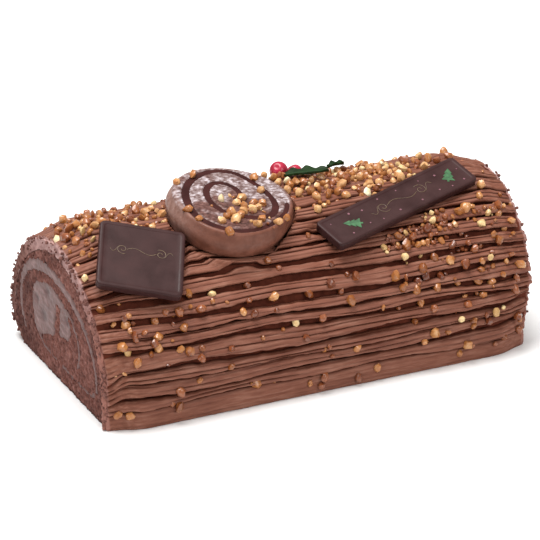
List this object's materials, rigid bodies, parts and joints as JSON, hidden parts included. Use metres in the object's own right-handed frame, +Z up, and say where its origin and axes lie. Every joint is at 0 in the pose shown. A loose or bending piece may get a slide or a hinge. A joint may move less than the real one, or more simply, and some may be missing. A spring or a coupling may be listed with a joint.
{
  "type": "yule log cake",
  "caption": "Rolled chocolate sponge log under combed buttercream, cut at both ends, topped with chopped nuts, a roulade slice, chocolate plaques, berries and holly leaves.",
  "frame": {"origin": "middle of the cake's flat underside, on the table", "axes": "+X along the log towards its right cut end, -Y the front that carries the plaques, +Z up"},
  "size_m": [0.2064, 0.1212, 0.084],
  "materials": {
    "sponge": "matt, open crumb",
    "cream": "satin",
    "buttercream": "satin, combed",
    "roulade": "satin",
    "ganache": "soft gloss",
    "dark_plaque": "soft gloss",
    "berry": "gloss",
    "leaf": "soft gloss",
    "amber_nut": "glazed",
    "dark_nut": "glazed",
    "pale_nut": "satin",
    "printed_colour": "satin"
  },
  "bodies": {
    "root": {"sponge": "sponge", "filling": "cream", "icing": "buttercream", "roundel": "roulade", "swirl": "ganache", "square_plaque": "dark_plaque", "bar_plaque": "dark_plaque", "berry_1": "berry", "berry_2": "berry", "leaf_1": "leaf", "leaf_2": "leaf"}
  },
  "joints": []
}
